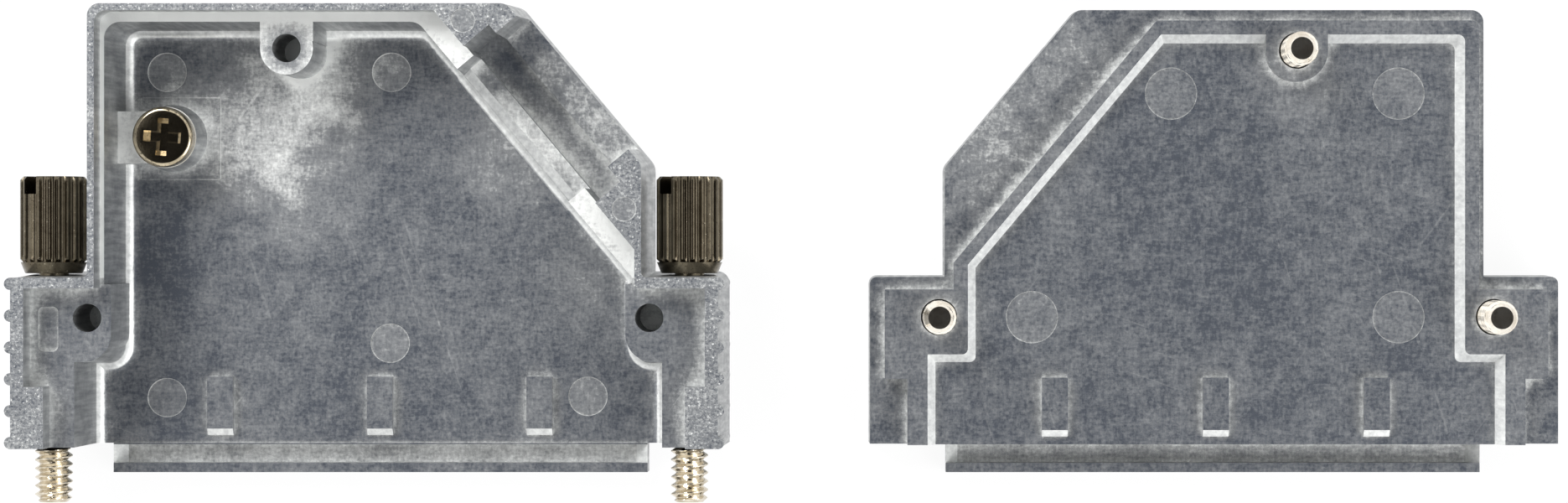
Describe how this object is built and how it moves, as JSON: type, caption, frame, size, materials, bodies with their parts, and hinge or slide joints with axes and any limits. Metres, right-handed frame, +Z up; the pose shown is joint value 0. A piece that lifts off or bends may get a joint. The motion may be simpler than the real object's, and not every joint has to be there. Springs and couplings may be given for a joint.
{
  "type": "d-sub hood",
  "caption": "Open two-part die-cast backshell for a D-sub cable connector, angled cable exit, fluted jackscrews, cover laid beside the base.",
  "frame": {"origin": "centre of the open hood's footprint, on the surface that both halves lie on", "axes": "+X from the base half to the cover, +Y from the connector side to the cable side, +Z up out of the open halves"},
  "size_m": [0.1148, 0.037, 0.0122],
  "materials": {
    "zinc_casting": "bare zinc die casting, mottled satin grey",
    "plated_screw": "nickel-plated steel, bright with warm dark reflections"
  },
  "bodies": {
    "housing": {"base_shell": "zinc_casting", "cover_shell": "zinc_casting", "cover_screw_left": "plated_screw", "cover_screw_top": "plated_screw", "cover_screw_right": "plated_screw", "ground_screw": "plated_screw"},
    "thumbscrew_left": {"thumbscrew_left": "plated_screw"},
    "thumbscrew_right": {"thumbscrew_right": "plated_screw"}
  },
  "joints": [
    {"name": "thumbscrew_left_turn", "type": "hinge", "parent": "housing", "child": "thumbscrew_left", "pos_m": [-0.05468, -0.01441, 0.0076], "axis": [0, 1, 0], "continuous": true},
    {"name": "thumbscrew_right_turn", "type": "hinge", "parent": "housing", "child": "thumbscrew_right", "pos_m": [-0.00764, -0.01441, 0.0076], "axis": [0, 1, 0], "continuous": true}
  ]
}
